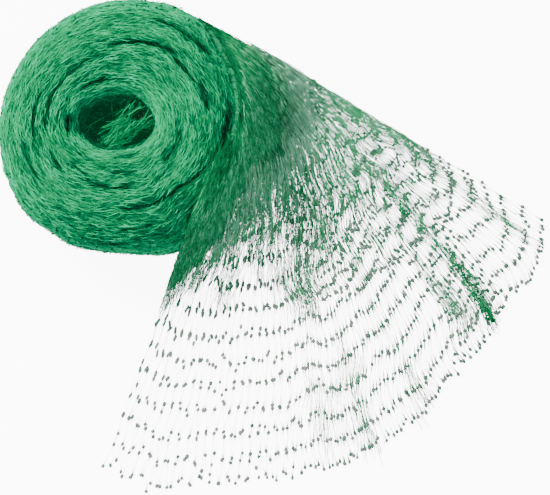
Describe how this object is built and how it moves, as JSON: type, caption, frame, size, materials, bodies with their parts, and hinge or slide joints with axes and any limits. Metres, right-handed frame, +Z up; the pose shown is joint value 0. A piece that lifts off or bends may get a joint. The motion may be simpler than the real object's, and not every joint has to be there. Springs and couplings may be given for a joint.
{
  "type": "bird netting roll",
  "caption": "Gathered diamond-mesh garden netting wound into an upright round roll, its loose end draped down one side and fanned out on the surface.",
  "frame": {"origin": "centre of the bounding box on the surface that the roll and its loose end rest on", "axes": "+Z up along the roll's axis, +X towards the right of the spread fan, -Y towards the fan's far end"},
  "size_m": [0.344, 0.3089, 0.1004],
  "materials": {
    "wound_netting": "glossy green polyethylene monofilament, matted together in wound turns",
    "spread_netting": "green polyethylene monofilament, knotted in open diamonds, nearly clear between the dark knots"
  },
  "bodies": {
    "root": {"net_roll": "wound_netting", "net_end": "spread_netting"}
  },
  "joints": []
}
